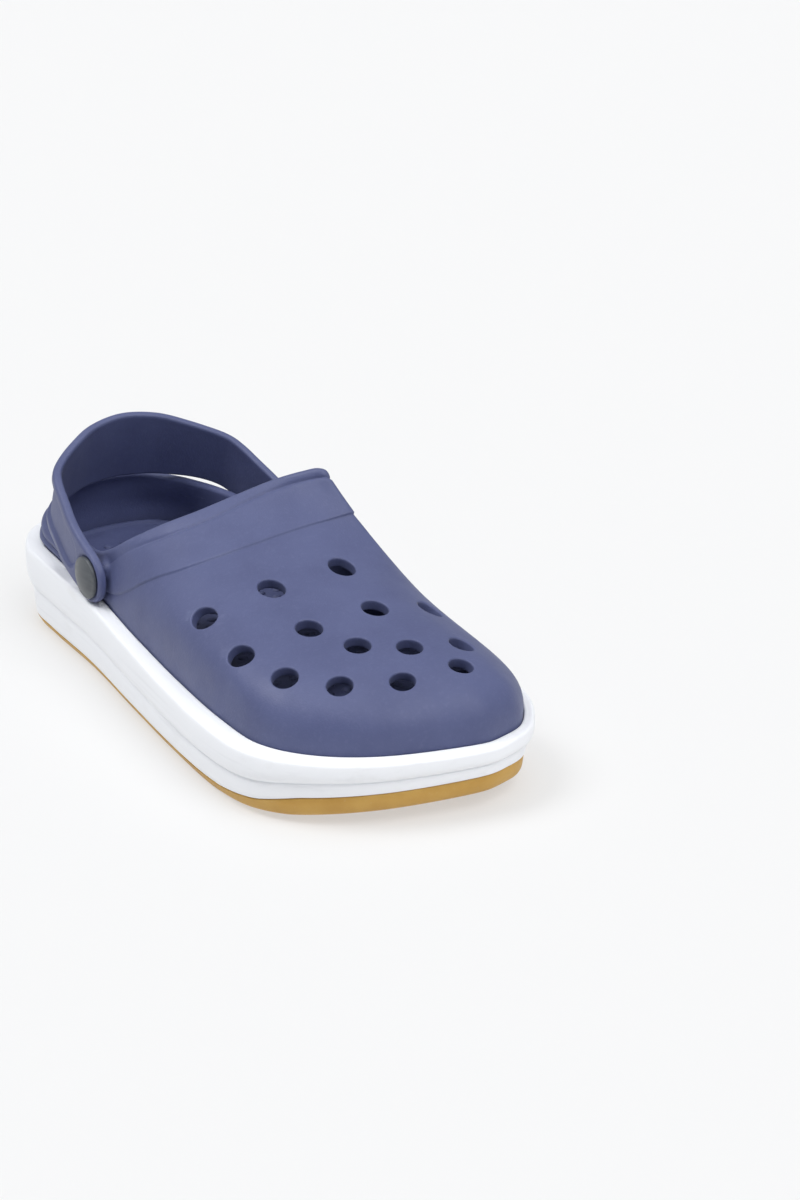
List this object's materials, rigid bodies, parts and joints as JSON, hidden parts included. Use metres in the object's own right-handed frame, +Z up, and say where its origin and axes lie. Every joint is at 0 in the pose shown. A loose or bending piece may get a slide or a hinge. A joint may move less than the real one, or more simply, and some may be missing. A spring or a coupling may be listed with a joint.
{
  "type": "garden clog",
  "caption": "Right-foot rubber garden clog: vented one-piece upper on a two-layer sole, with a footbed and a heel strap that swings on snap rivets.",
  "frame": {"origin": "on the ground, under the middle of the shoe's length and width", "axes": "+Z up, +Y towards the heel, -Y towards the toe, +X towards the inner (medial) side of the foot"},
  "size_m": [0.122, 0.284, 0.0888],
  "materials": {
    "upper_foam": "matt moulded foam with a fine pebble grain, navy",
    "footbed_foam": "matt foam, dark navy",
    "midsole_foam": "smooth foam, cool white",
    "outsole_rubber": "matt gum rubber, tan",
    "strap_foam": "matt moulded foam, navy",
    "rivet_plastic": "satin plastic, dark grey"
  },
  "bodies": {
    "shoe": {"upper": "upper_foam", "footbed": "footbed_foam", "midsole": "midsole_foam", "outsole": "outsole_rubber", "lateral_rivet": "rivet_plastic", "medial_rivet": "rivet_plastic", "lateral_rivet_socket": "rivet_plastic", "medial_rivet_socket": "rivet_plastic"},
    "strap": {"heel_strap": "strap_foam"}
  },
  "joints": [
    {"name": "strap_hinge", "type": "hinge", "parent": "shoe", "child": "strap", "pos_m": [0, 0.046, 0.0453], "axis": [1, 0, 0], "range_deg": [0, 95]}
  ]
}
